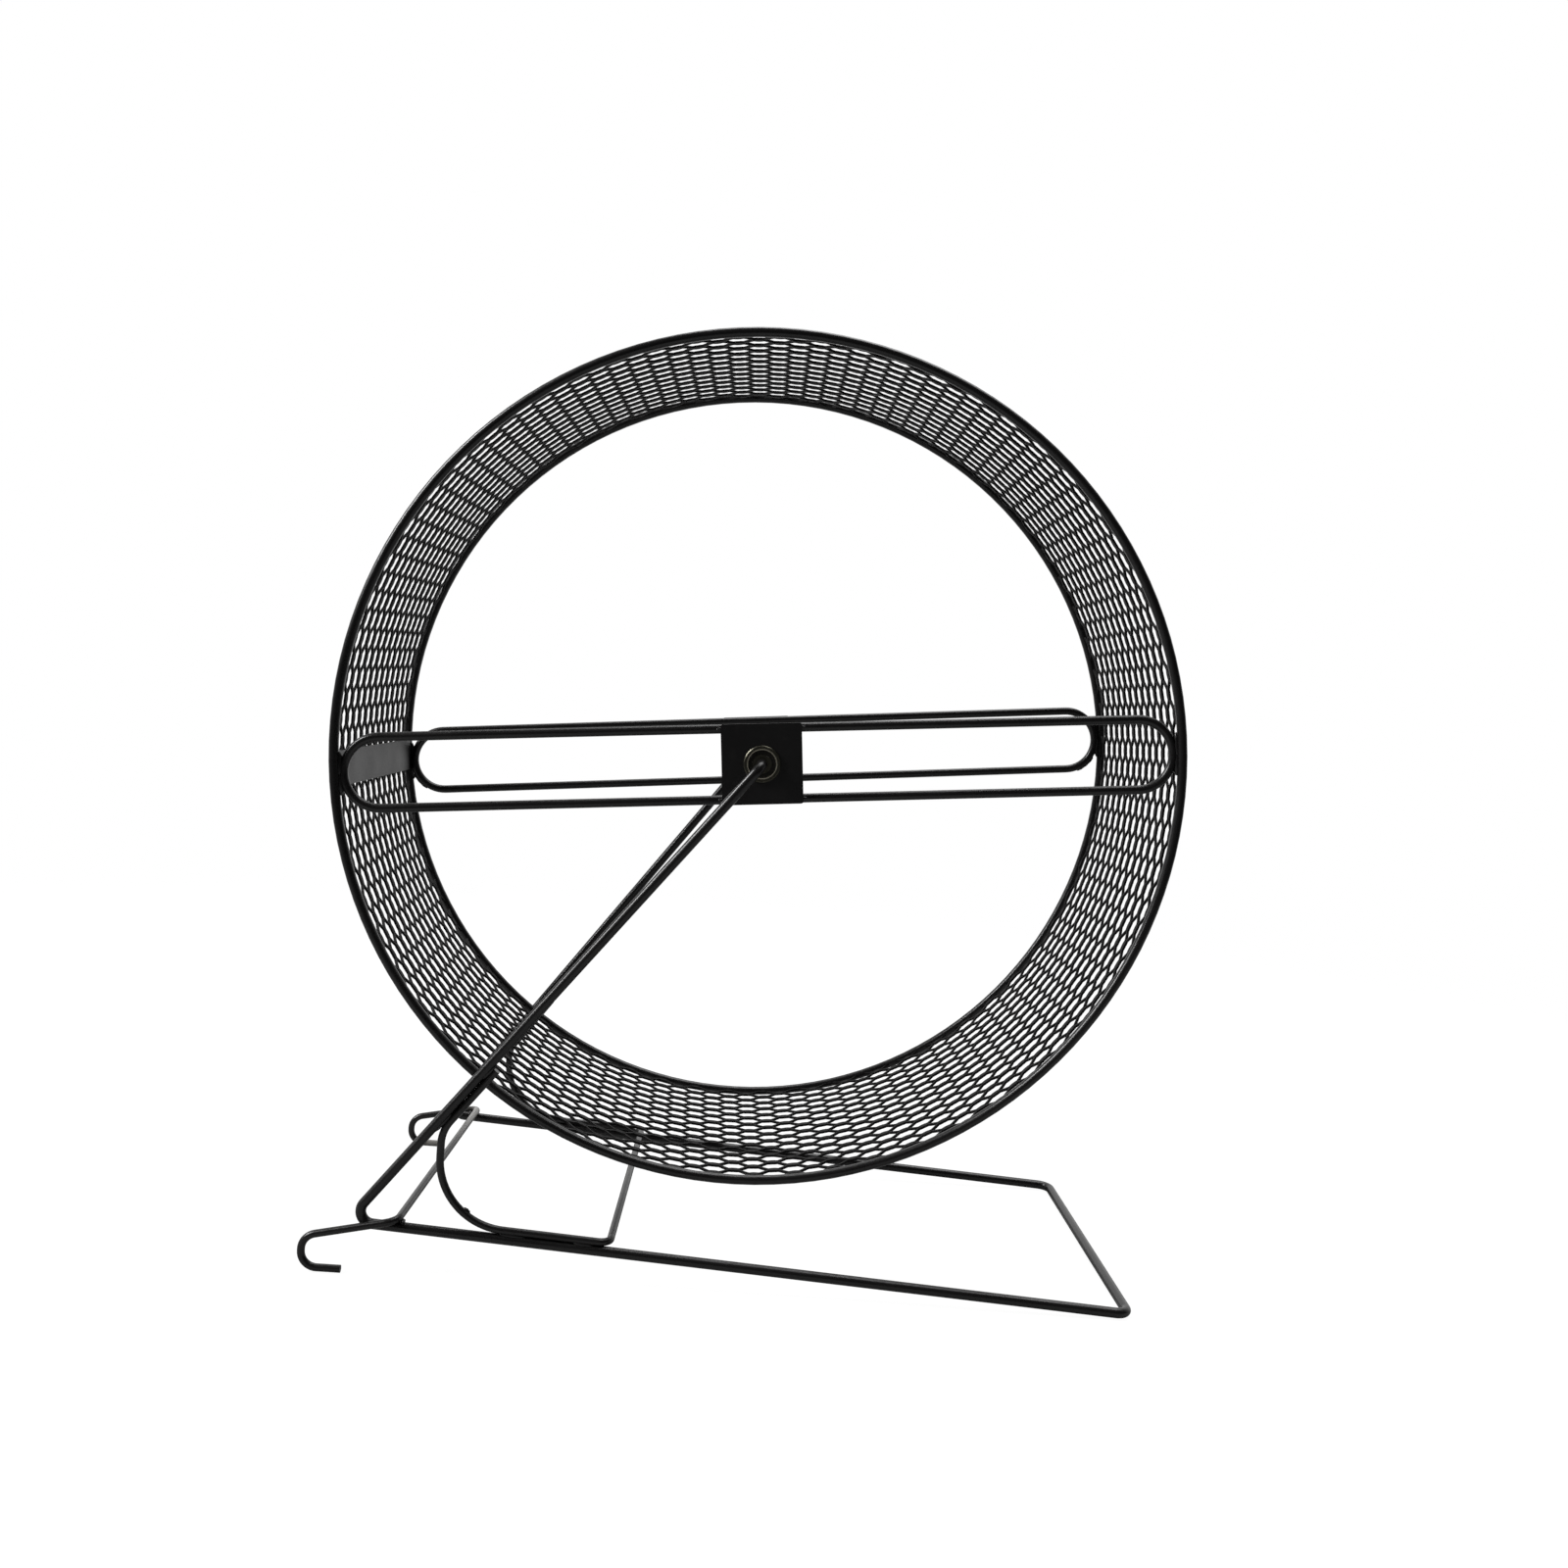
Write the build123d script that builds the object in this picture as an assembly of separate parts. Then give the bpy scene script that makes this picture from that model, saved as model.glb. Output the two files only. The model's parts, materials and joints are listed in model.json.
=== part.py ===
"""Free-standing running wheel for a hamster: a wire and mesh wheel on a bent wire stand.

Millimetres, +Z up, +X to the right seen from the front, +Y to the back.
The origin lies on the floor under the middle of the wheel.
The wheel turns on its axle, which lies along Y. Everything else is welded.
"""

import os
from math import asin, cos, degrees, pi, radians, sin, sqrt, tan

from build123d import *

# Wheel
WHEEL_OUTER_D = 280.0
WHEEL_FLOOR_GAP = 33.6
RIM_WIRE_D = 3.2
RIM_SPACING = 110.0

# Running surface of expanded sheet, and the plate over its seam
MESH_T = 0.8
MESH_WELD = 0.2
MESH_MARGIN = 2.6
MESH_TURN_COUNT = 26
MESH_ROW_COUNT = 6
MESH_OPEN_LONG_SHARE = 0.4
MESH_OPEN_HIGH_SHARE = 0.78
MESH_TIP_SHARE = 0.12
SEAM_W = 11.8
SEAM_T = 0.8
SEAM_END_GAP = 0.2
SEAM_ANGLE = 185.15

# Crossbars: one closed wire loop at each end of the wheel
CROSSBAR_WIRE_D = 3.0
CROSSBAR_GAP = 20.2
CROSSBAR_INSET = 1.0
CROSSBAR_WELD = 0.05
CROSSBAR_FRONT_ANGLE = 5.8
CROSSBAR_REAR_ANGLE = 6.3

# Hub plates
HUB_PLATE_SIDE = 26.4
HUB_PLATE_T = 1.2
HUB_PLATE_CORNER_R = 0.8
HUB_COLLAR_WALL = 1.2

# Ball bearings
BEARING_D = 12.0
BEARING_W = 4.0
BEARING_PROUD = 0.7
BEARING_RING_WALL = 1.4
BEARING_INNER_WALL = 1.4
BEARING_EDGE = 0.25
SHIELD_T = 0.3
SHIELD_RECESS = 0.3
SHIELD_GAP = 0.08
BALL_GAP = 0.05
BALL_COUNT = 7

# Stand: its toe ends inside the wheel's edge, its struts climb at an angle to the floor
STAND_WIRE_D = 3.4
STAND_SIDE_GAP = 5.6
TOE_INSET = 5.0
TOE_BEND_R = 4.5
HEEL_BEND_R = 4.2
STUB_BEND_R = 4.2
STUB_PROUD = 0.6
STRUT_FRONT_ANGLE = 52.17
STRUT_REAR_ANGLE = 54.03

# Brace between the two sides, under the wheel, measured from the foot of each strut
BRACE_WIRE_D = 2.5
BRACE_LEG_OFFSET = {"front": 40.8, "rear": 35.0}
BRACE_CROSS_OFFSET = {"front": 97.3, "rear": 91.0}
BRACE_HEEL_BEND_R = 23.0
BRACE_TOP_BEND_R = {"front": 12.0, "rear": 8.0}
BRACE_CORNER_R = 4.0
BRACE_LAP = 26.5

# Hooks for cage bars, the two ends of one wire, which crosses near the foot of each strut
HOOK_WIRE_D = 2.5
HOOK_CROSS_OFFSET = {"front": 28.8, "rear": 23.5}
HOOK_LENGTH = {"front": 29.9, "rear": 26.8}
HOOK_TIP_LENGTH = {"front": 12.9, "rear": 11.4}
HOOK_CORNER_R = 4.0
HOOK_BEND_R = 5.2
HOOK_MOUTH = 8.85
HOOK_FRONT_ANGLE = 12.7
HOOK_REAR_ANGLE = 12.15

# One overrun serves every cut, and the bends at the two ends of a run leave a little of it straight
OVERRUN = 2.0
BEND_RUN_SHARE = 0.98

# Sizes that follow from the ones above
axle_h = WHEEL_FLOOR_GAP + WHEEL_OUTER_D / 2
rim_r = WHEEL_OUTER_D / 2 - RIM_WIRE_D / 2
rim_y = RIM_SPACING / 2
stand_r = STAND_WIRE_D / 2
brace_r = BRACE_WIRE_D / 2
hook_r = HOOK_WIRE_D / 2
crossbar_r = CROSSBAR_WIRE_D / 2
side_y = rim_y + RIM_WIRE_D / 2 + STAND_SIDE_GAP + stand_r
toe_x = WHEEL_OUTER_D / 2 - TOE_INSET
brace_lap = stand_r + brace_r
hook_lap = stand_r + hook_r
crossbar_y = rim_y - CROSSBAR_INSET
plate_back_y = crossbar_y + crossbar_r
plate_face_y = plate_back_y + HUB_PLATE_T
bearing_face_y = plate_face_y + BEARING_PROUD
bearing_back_y = bearing_face_y - BEARING_W
bearing_inner_r = stand_r + BEARING_INNER_WALL
race_r = BEARING_D / 2 - BEARING_RING_WALL
crossbar_angle = {"front": CROSSBAR_FRONT_ANGLE, "rear": CROSSBAR_REAR_ANGLE}
strut_angle = {"front": radians(STRUT_FRONT_ANGLE), "rear": radians(STRUT_REAR_ANGLE)}
hook_angle = {"front": radians(HOOK_FRONT_ANGLE), "rear": radians(HOOK_REAR_ANGLE)}

# The hook's lower leg lies on the floor, and its upper leg is one mouth above it
hook_leg_z = HOOK_WIRE_D + HOOK_MOUTH


def side_sign(side):
    return -1 if side == "front" else 1


def foot_x(side):
    """Where the strut's line from the axle reaches the floor."""
    return -axle_h / tan(strut_angle[side])


def hook_cross(side):
    """Where the hook wire crosses this side's base wire: the hook's upper leg climbs to it."""
    climb = HOOK_LENGTH[side] * tan(hook_angle[side])
    return foot_x(side) + HOOK_CROSS_OFFSET[side], hook_leg_z + climb


def base_slope(side):
    """The base wire lies under the hook wire at its heel, and on the floor at its toe."""
    x, z = hook_cross(side)
    return (z - hook_lap - stand_r) / (x - toe_x)


def base_z(side, x):
    """Height of the base wire's middle at x."""
    return stand_r + base_slope(side) * (x - toe_x)


def heel_point(side):
    """Where the strut's line from the axle meets the base wire's line."""
    x = (base_z(side, 0) - axle_h) / (tan(strut_angle[side]) - base_slope(side))
    return x, base_z(side, x)


def bends_that_fit(points, radii):
    """The bend radii, smaller where the bends at the two ends of a run would meet."""
    corners = [Vector(*point) for point in points]
    runs = [end - start for start, end in zip(corners, corners[1:])]
    turns = [radians(before.get_angle(after)) for before, after in zip(runs, runs[1:])]
    taken = [0] + [radius * tan(turn / 2) for radius, turn in zip(radii, turns)] + [0]
    room = [
        min(1, BEND_RUN_SHARE * run.length / (before + after))
        for run, before, after in zip(runs, taken, taken[1:])
    ]
    return [radius * min(before, after) for radius, before, after in zip(radii, room, room[1:])]


def wire(points, radii, wire_d):
    """A round wire bent through the points, with one bend radius for each corner."""
    path = FilletPolyline(*points, radius=bends_that_fit(points, radii))
    start = Plane(origin=path @ 0, z_dir=path % 0)
    return sweep(start * Circle(wire_d / 2), path=path)


def stand_frame():
    """One wire: stub, strut, base side, toe, and the same again at the back."""
    stub_y = bearing_back_y - STUB_PROUD
    front_x, front_z = heel_point("front")
    rear_x, rear_z = heel_point("rear")
    points = [
        (0, -stub_y, axle_h),
        (0, -side_y, axle_h),
        (front_x, -side_y, front_z),
        (toe_x, -side_y, stand_r),
        (toe_x, side_y, stand_r),
        (rear_x, side_y, rear_z),
        (0, side_y, axle_h),
        (0, stub_y, axle_h),
    ]
    radii = [STUB_BEND_R, HEEL_BEND_R, TOE_BEND_R, TOE_BEND_R, HEEL_BEND_R, STUB_BEND_R]
    return wire(points, radii, STAND_WIRE_D)


def brace_side(side):
    """One side of the brace, from its upper end down to the corner of its crossing."""
    y = side_sign(side) * side_y
    angle = strut_angle[side]
    leg_x = foot_x(side) + BRACE_LEG_OFFSET[side]
    cross_x = foot_x(side) + BRACE_CROSS_OFFSET[side]
    # the laid-on wire runs beside the strut, one lap distance below it
    run = (brace_lap * sin(angle) - leg_x) / cos(angle)
    top_z = axle_h - run * sin(angle) - brace_lap * cos(angle)
    end_x = leg_x + BRACE_LAP * cos(angle)
    end_z = top_z + BRACE_LAP * sin(angle)
    return [
        (end_x, y, end_z),
        (leg_x, y, top_z),
        (leg_x, y, base_z(side, leg_x) + brace_lap),
        (cross_x, y, base_z(side, cross_x) + brace_lap),
    ]


def brace_wire():
    """A thinner wire laid on strut and base on both sides, crossing under the wheel."""
    radii = [
        BRACE_TOP_BEND_R["front"],
        BRACE_HEEL_BEND_R,
        BRACE_CORNER_R,
        BRACE_CORNER_R,
        BRACE_HEEL_BEND_R,
        BRACE_TOP_BEND_R["rear"],
    ]
    return wire(brace_side("front") + brace_side("rear")[::-1], radii, BRACE_WIRE_D)


def hook_side(side):
    """One hook, from its tip on the floor to the corner of the crossing."""
    y = side_sign(side) * (side_y + hook_lap)
    cross_x, cross_z = hook_cross(side)
    reach_x = cross_x - HOOK_LENGTH[side]
    tip_x = reach_x + HOOK_TIP_LENGTH[side]
    return [(tip_x, y, hook_r), (reach_x, y, hook_r), (reach_x, y, hook_leg_z), (cross_x, y, cross_z)]


def hook_wire():
    """One wire over both base sides, with a hook at each end that stands on the floor."""
    radii = [HOOK_BEND_R, HOOK_BEND_R, HOOK_CORNER_R, HOOK_CORNER_R, HOOK_BEND_R, HOOK_BEND_R]
    return wire(hook_side("front") + hook_side("rear")[::-1], radii, HOOK_WIRE_D)


def at_axle(shape, y, turn=0):
    """Puts a shape drawn round the Z axis on the wheel's axle, its +Z pointing to the back."""
    return Pos(0, y, axle_h) * Rot(0, -turn, 0) * Rot(-90, 0, 0) * shape


def rim(side):
    ring = Torus(rim_r, RIM_WIRE_D / 2)
    return at_axle(ring, side_sign(side) * rim_y)


def tube(outer_r, inner_r, low, high):
    """A ring between two heights on the Z axis."""
    height = high - low
    outer = Pos(0, 0, low) * Cylinder(outer_r, height, align=(Align.CENTER, Align.CENTER, Align.MIN))
    bore = Cylinder(inner_r, height + 2 * OVERRUN, align=(Align.CENTER, Align.CENTER, Align.MIN))
    return outer - Pos(0, 0, low - OVERRUN) * bore


def running_mesh():
    """A thin rolled sheet with staggered long openings, its edges in the rim wires."""
    half_w = rim_y - RIM_WIRE_D / 2 + MESH_WELD
    inner_r = rim_r - MESH_T / 2
    sheet = tube(rim_r + MESH_T / 2, inner_r, -half_w, half_w)
    long_pitch = 2 * pi * rim_r / MESH_TURN_COUNT
    row_pitch = 2 * (half_w - MESH_MARGIN) / MESH_ROW_COUNT
    half_long = long_pitch * MESH_OPEN_LONG_SHARE
    half_high = row_pitch * MESH_OPEN_HIGH_SHARE / 2
    half_tip = half_high * MESH_TIP_SHARE
    outline = [
        (half_long, half_tip),
        (0, half_high),
        (-half_long, half_tip),
        (-half_long, -half_tip),
        (0, -half_high),
        (half_long, -half_tip),
    ]
    depth = MESH_T + 2 * OVERRUN
    face = make_face(Polyline(*outline, close=True))
    # the opening's long way lies round the wheel and its short way along the axle
    cutter = extrude(Plane((inner_r - OVERRUN, 0, 0), x_dir=(0, 1, 0), z_dir=(1, 0, 0)) * face, depth)
    cutters = []
    for column in range(2 * MESH_TURN_COUNT):
        shifted = column % 2
        angle = 360 * column / (2 * MESH_TURN_COUNT)
        for row in range(MESH_ROW_COUNT - shifted):
            middle = row_pitch * (row + (1 + shifted) / 2 - MESH_ROW_COUNT / 2)
            cutters.append(Rot(0, 0, angle) * Pos(0, 0, middle) * cutter)
    return at_axle(sheet - cutters, 0)


def seam_plate():
    """A strip inside the mesh that joins its two ends, from rim to rim."""
    length = 2 * (rim_y - RIM_WIRE_D / 2 + SEAM_END_GAP)
    outer_r = rim_r - MESH_T / 2
    arc = 2 * degrees(asin(SEAM_W / 2 / outer_r))
    section = Plane.XZ * Pos(outer_r - SEAM_T / 2, 0, 0) * Rectangle(SEAM_T, length)
    strip = Rot(0, 0, -arc / 2) * revolve(section, Axis.Z, arc)
    return at_axle(strip, 0, turn=SEAM_ANGLE)


def crossbar(side):
    """A closed wire loop with round ends, welded into its rim."""
    half_gap = CROSSBAR_GAP / 2 + crossbar_r
    touch = RIM_WIRE_D / 2 + crossbar_r - CROSSBAR_WELD
    end_x = rim_r - sqrt(touch**2 - CROSSBAR_INSET**2)
    straight = end_x - half_gap
    bar = Rot(0, 90, 0) * Cylinder(crossbar_r, 2 * straight)
    half_space = Pos(half_gap, 0, 0) * Box(2 * half_gap, 4 * half_gap, 2 * CROSSBAR_WIRE_D)
    bend = Torus(half_gap, crossbar_r) & half_space
    loop = Pos(0, half_gap, 0) * bar + Pos(0, -half_gap, 0) * bar
    loop += Pos(straight, 0, 0) * bend
    loop += Pos(-straight, 0, 0) * Rot(0, 0, 180) * bend
    return at_axle(loop, side_sign(side) * crossbar_y, turn=crossbar_angle[side])


def hub_tube(side, outer_r, inner_r, out_y, in_y):
    """A ring on the axle between two distances from the wheel's middle."""
    if side == "front":
        return at_axle(tube(outer_r, inner_r, -out_y, -in_y), 0)
    return at_axle(tube(outer_r, inner_r, in_y, out_y), 0)


def hub_plate(side):
    """A square plate on the outside of the crossbar, with a collar that holds the bearing."""
    plate = Box(HUB_PLATE_SIDE, HUB_PLATE_SIDE, HUB_PLATE_T)
    plate = fillet(plate.edges().filter_by(Axis.Z), HUB_PLATE_CORNER_R)
    middle = side_sign(side) * (plate_back_y + HUB_PLATE_T / 2)
    plate = at_axle(plate, middle, turn=crossbar_angle[side])
    collar_r = BEARING_D / 2 + HUB_COLLAR_WALL
    plate += hub_tube(side, collar_r, BEARING_D / 2, plate_back_y, bearing_back_y)
    return plate - hub_tube(side, BEARING_D / 2, 0, plate_face_y + OVERRUN, bearing_back_y - OVERRUN)


def bearing_outer_ring(side):
    ring = hub_tube(side, BEARING_D / 2, race_r, bearing_face_y, bearing_back_y)
    rims = ring.edges().filter_by(GeomType.CIRCLE)
    return chamfer([edge for edge in rims if edge.radius > race_r + BEARING_EDGE], BEARING_EDGE)


def bearing_inner_ring(side):
    return hub_tube(side, bearing_inner_r, stand_r, bearing_face_y, bearing_back_y)


def bearing_shields(side):
    """The two thin covers of one bearing, set back from its faces."""
    inner_r = bearing_inner_r + SHIELD_GAP
    out_y = bearing_face_y - SHIELD_RECESS
    in_y = bearing_back_y + SHIELD_RECESS
    outside = hub_tube(side, race_r, inner_r, out_y, out_y - SHIELD_T)
    inside = hub_tube(side, race_r, inner_r, in_y + SHIELD_T, in_y)
    return Compound(children=[outside, inside])


def bearing_balls(side):
    """The balls between the two rings, evenly round the axle."""
    ball_r = (race_r - bearing_inner_r) / 2 - BALL_GAP
    track_r = (race_r + bearing_inner_r) / 2
    middle = side_sign(side) * (bearing_face_y + bearing_back_y) / 2
    balls = [Rot(0, 0, 360 * i / BALL_COUNT) * Pos(track_r, 0, 0) * Sphere(ball_r) for i in range(BALL_COUNT)]
    return at_axle(Compound(children=balls), middle)


def all_pieces():
    """Every named piece, in the order they are built up."""
    pieces = {
        "stand_frame": stand_frame(),
        "brace_wire": brace_wire(),
        "hook_wire": hook_wire(),
        "running_mesh": running_mesh(),
        "seam_plate": seam_plate(),
    }
    for side in ("front", "rear"):
        pieces[side + "_rim"] = rim(side)
        pieces[side + "_crossbar"] = crossbar(side)
        pieces[side + "_hub_plate"] = hub_plate(side)
        pieces[side + "_bearing_outer_ring"] = bearing_outer_ring(side)
        pieces[side + "_bearing_inner_ring"] = bearing_inner_ring(side)
        pieces[side + "_bearing_shields"] = bearing_shields(side)
        pieces[side + "_bearing_balls"] = bearing_balls(side)
    return pieces


if __name__ == "__main__":
    os.makedirs("parts", exist_ok=True)
    for name, shape in all_pieces().items():
        shape.label = name
        export_step(shape, os.path.join("parts", name + ".step"))
        print(name, round(shape.volume, 1))
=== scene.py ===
"""The looks of a hamster wheel: expanded mesh between two wire rims, turning in a bent wire stand."""

import json
import math

import bmesh
import bpy
from mathutils import Matrix, Vector


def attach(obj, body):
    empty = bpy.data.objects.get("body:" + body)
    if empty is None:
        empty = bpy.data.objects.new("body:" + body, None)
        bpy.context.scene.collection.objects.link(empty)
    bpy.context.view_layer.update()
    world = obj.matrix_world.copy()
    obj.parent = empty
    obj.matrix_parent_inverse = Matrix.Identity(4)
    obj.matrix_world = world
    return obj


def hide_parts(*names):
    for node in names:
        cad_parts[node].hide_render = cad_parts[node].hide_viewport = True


bl_info = {
    "name": "Hamster Wheel",
    "version": (1, 0, 0),
    "blender": (4, 5, 0),
    "location": "View3D > Sidebar > Hamster Wheel",
    "description": "Dresses a mesh hamster wheel and its wire stand, and sets the studio around it",
    "category": "Object",
}

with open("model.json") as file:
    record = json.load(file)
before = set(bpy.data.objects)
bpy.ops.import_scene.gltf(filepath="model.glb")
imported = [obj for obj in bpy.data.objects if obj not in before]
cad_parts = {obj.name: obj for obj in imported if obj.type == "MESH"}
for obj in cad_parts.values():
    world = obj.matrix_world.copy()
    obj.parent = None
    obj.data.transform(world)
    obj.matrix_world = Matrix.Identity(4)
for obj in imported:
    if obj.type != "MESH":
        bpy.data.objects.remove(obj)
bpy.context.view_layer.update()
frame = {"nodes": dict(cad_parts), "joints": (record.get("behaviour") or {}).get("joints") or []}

AXLE_Z = frame["joints"][0]["pos_m"][2]

# carried-over pieces, by their finish
BLACK_WIRES = ("front_rim", "rear_rim", "front_crossbar", "rear_crossbar", "stand_frame", "brace_wire")
BLACK_PLATES = ("front_hub_plate", "rear_hub_plate")
BEARINGS = ("front_bearing", "rear_bearing")
BEARING_STEEL = ("outer_ring", "inner_ring", "balls")

# the mesh: where each half arm is bent, as shares of its length and of its climb, its steepness there and its
# share of the lift, then the lift at a bond's end, and where the roll puts the sheet's ends
ARM_RINGS = ((0.48, 0.14, 1.05, 0.4), (1.0, 1.0, 1.3, 0.0))
BOND_END_SHARE = 0.76
SEAM_FROM_ROLL = math.radians(90)

# distances under which corners are one corner
SAME_PLACE = 1e-7
MERGE = 1e-5

# weld beads are placed in millimetres
MM_PER_M = 1000

# for each crossbar, its way off the middle and its turn about the axle
CROSSBARS = ((-1, math.radians(5.8)), (1, math.radians(6.3)))

# beads on the wheel, in a crossbar's own frame: how far along it, above it and off the middle, and half length
RIM_BEAD_ALONG, RIM_BEAD_UP, RIM_BEAD_DEPTH, RIM_BEAD_HALF = 136.6, 2.6, 54.5, 4.6
RIM_BEAD_LEAN = 0.03
PLATE_BEAD_ALONG, PLATE_BEAD_UP, PLATE_BEAD_DEPTH, PLATE_BEAD_HALF = 13.5, 11.6, 55.2, 1.3

# beads on the rear crossbar's lower bends: the bends' middle, the reach from it, then end and angle of each
BEND_MIDDLE, BEND_BEAD_REACH, BEND_BEAD_DEPTH, BEND_BEAD_HALF = 123.92, 12.5, 54, 4.2
BEND_BEADS = ((-1, math.radians(38)), (1, math.radians(52)))
BEND_BEAD_SHARE = 0.9

# beads on the stand's two sides: X, Z and half length where the brace lies on strut and on base, X and Z of the
# hook wire's crossing, and for the two beads there the steps from it in X and Z and the half length
STAND_SIDES = (
    {
        "way": -1,
        "strut_run": (0.613, 0, 0.790),
        "on_strut": ((-79.9, 68.3, 3.4), (-93.6, 50.7, 4.2)),
        "on_base": ((-69.0, 14.8, 4.2), (-46.0, 13.5, 3.2)),
        "crossing": (-104.6, 16.9),
    },
    {
        "way": 1,
        "strut_run": (0.587, 0, 0.809),
        "on_strut": ((-77.7, 64.5, 3.4), (-90.6, 46.3, 4.2)),
        "on_base": ((-66.5, 14.0, 4.2), (-44.5, 12.8, 3.2)),
        "crossing": (-102.3, 15.7),
    },
)
BASE_RUN = (1, 0, -0.055)
BRACE_BEAD_DEPTH = 64.5
HOOK_RUN = (0, 1, 0)
HOOK_BEAD_DEPTH = 63.7
HOOK_BEADS = ((0, 0, 1.8), (-2.9, 0.2, 1.6))

# a drop of weld on the brace's front bend: place, run, half length, share of a brace bead's radius
DROP_PLACE, DROP_RUN, DROP_HALF, DROP_SHARE = (-84.45, -63.9, 21.85), (1, 0, -0.75), 1.5, 1.2

# a bead's shape: the rings between its layers, the reach that finds them, how far they draw in, its unevenness
BEAD_RINGS = (-0.81, -0.31, 0.31, 0.81)
BEAD_RING_REACH = 0.05
BEAD_WAIST = 0.86
BEAD_UNEVEN = 0.03

# coats: roughness above the coat's own, dust, strength and height of the grain, and gloss
COATS = {
    "wire_black_coat": (0.0, 0.06, 0.12, 0.00002, 0.5),
    "mesh_black_coat": (0.35, 0.05, 0.12, 0.00002, 0.15),
    "plate_black_coat": (0.05, 0.08, 0.12, 0.00002, 0.5),
    "seam_black_coat": (0.2, 0.3, 0.3, 0.00002, 0.43),
    # the hook wire's coat, painted paler at its rear as painted reflection and highlight
    "hook_painted_sheen_coat": (0.0, 0.06, 0.12, 0.00002, 0.5),
    "weld_black_coat": (0.0, 0.06, 0.25, 0.00006, 0.5),
}

# the grain of a coat: scales of its noises, and how much they change its gloss
PEBBLES, RIPPLES, SLOW_CHANGES, SPECKS = 1500.0, 420.0, 45.0, 260.0
SLOW_GLOSS, PEBBLE_GLOSS = 0.22, 0.1
SPECK_RANGE = (0.62, 0.8)
DUST_COLOUR = (0.09, 0.085, 0.08, 1)

# where the hook wire is painted paler as painted sheen, along X, Y and Z: a painted reflection along its crossing
# towards the rear, and a painted highlight at the rear hook's end
PAINTED_SHEEN_PATCHES = (
    ((-0.112, -0.104), (0.0, 0.066), (-0.002, -0.001)),
    ((-0.124, -0.122), (0.05, 0.06), (0.008, 0.005)),
)

# bearing steel: scales of its turned rings and of its tone, and a painted highlight ring from inner to outer
# radius, where the outer ring's inner edge catches the light
RING_LINES, STEEL_TONES = 9000.0, 500.0
RING_BUMP, RING_HEIGHT = 0.15, 0.00001
RING_ROUGHNESS, SHIELD_ROUGHNESS = 0.34, 0.45
BEARING_HIGHLIGHT_RADII = (0.0046, 0.0049)
HIGHLIGHT_COLOUR = (0.9, 0.85, 0.68, 1)

# the studio: floor, white tent, and each lamp's place, target, size and power
FLOOR_SIDE, FLOOR_Z = 2.4, -0.0002
FLOOR_BASE_SHARE, FLOOR_GLOW = 0.1, 0.97
FLOOR_REFLECTED = (0.3, 0.3, 0.3, 1)
FLOOR_FADE = (0.3, 0.9)
TENT_SPREAD = (-0.15, 0.75)
TENT_GLOW = (0.04, 0.95)
LAMPS = (
    ("side_light", (-1.9, -0.5, 1.5), (0, 0, 0.17), (0.45, 1.1), 52),
    ("top_light", (0.3, 0.4, 2.0), (0, 0, 0.1), (1.6, 1.2), 26),
)


# sizes and colours a user would change


class WHEEL_PG_mesh(bpy.types.PropertyGroup):
    cells_per_turn: bpy.props.FloatProperty(
        name="Cells per turn",
        description="Openings in one ring of the mesh, from seam to seam",
        default=64.5,
        min=12,
    )
    middle_radius: bpy.props.FloatProperty(
        name="Radius",
        description="Radius of the middle of the sheet",
        default=0.1384,
        unit="LENGTH",
        subtype="DISTANCE",
    )
    row_pitch: bpy.props.FloatProperty(
        name="Row pitch",
        description="Distance between rows along the axle",
        default=0.00823,
        unit="LENGTH",
        subtype="DISTANCE",
    )
    half_width: bpy.props.FloatProperty(
        name="Half width",
        description="Where the sheet is cut, from the middle",
        default=0.054,
        unit="LENGTH",
        subtype="DISTANCE",
    )
    strand: bpy.props.FloatProperty(
        name="Strand",
        description="Width of one strand",
        default=0.001,
        unit="LENGTH",
        subtype="DISTANCE",
    )
    thickness: bpy.props.FloatProperty(
        name="Thickness",
        description="Thickness of the coated sheet",
        default=0.00079,
        unit="LENGTH",
        subtype="DISTANCE",
    )
    bond_half: bpy.props.FloatProperty(
        name="Half bond",
        description="Half the length over which two strands stay joined",
        default=0.00065,
        unit="LENGTH",
        subtype="DISTANCE",
    )
    bond_tilt: bpy.props.FloatProperty(
        name="Bond tilt",
        description="How far a bond's front edge stands outwards",
        default=0.00006,
        unit="LENGTH",
        subtype="DISTANCE",
    )
    arm_tilt: bpy.props.FloatProperty(
        name="Arm tilt",
        description="How far an arm's front edge stands outwards",
        default=-0.00006,
        unit="LENGTH",
        subtype="DISTANCE",
    )
    lift: bpy.props.FloatProperty(
        name="Bond lift",
        description="How far bonds rise inwards over the arms",
        default=0.0001,
        unit="LENGTH",
        subtype="DISTANCE",
    )
    seam_angle: bpy.props.FloatProperty(
        name="Seam",
        description="Where the two ends of the sheet meet, from the right",
        default=math.radians(185.15),
        unit="ROTATION",
        subtype="ANGLE",
    )
    seam_gap: bpy.props.FloatProperty(
        name="Seam gap",
        description="Gap between the two ends under the plate",
        default=0.0004,
        unit="LENGTH",
        subtype="DISTANCE",
    )
    start_share: bpy.props.FloatProperty(
        name="Start",
        description="Share of a cell that the cut leaves at the seam",
        default=0.763,
        min=0,
        max=1,
        subtype="FACTOR",
    )
    askew: bpy.props.FloatProperty(
        name="Askew",
        description="How far out of square the sheet was cut",
        default=math.radians(1.17),
        unit="ROTATION",
        subtype="ANGLE",
    )
    row_shift: bpy.props.FloatProperty(
        name="Row shift",
        description="Shift of all rows towards the front",
        default=0.00043,
        unit="LENGTH",
        subtype="DISTANCE",
    )


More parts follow.
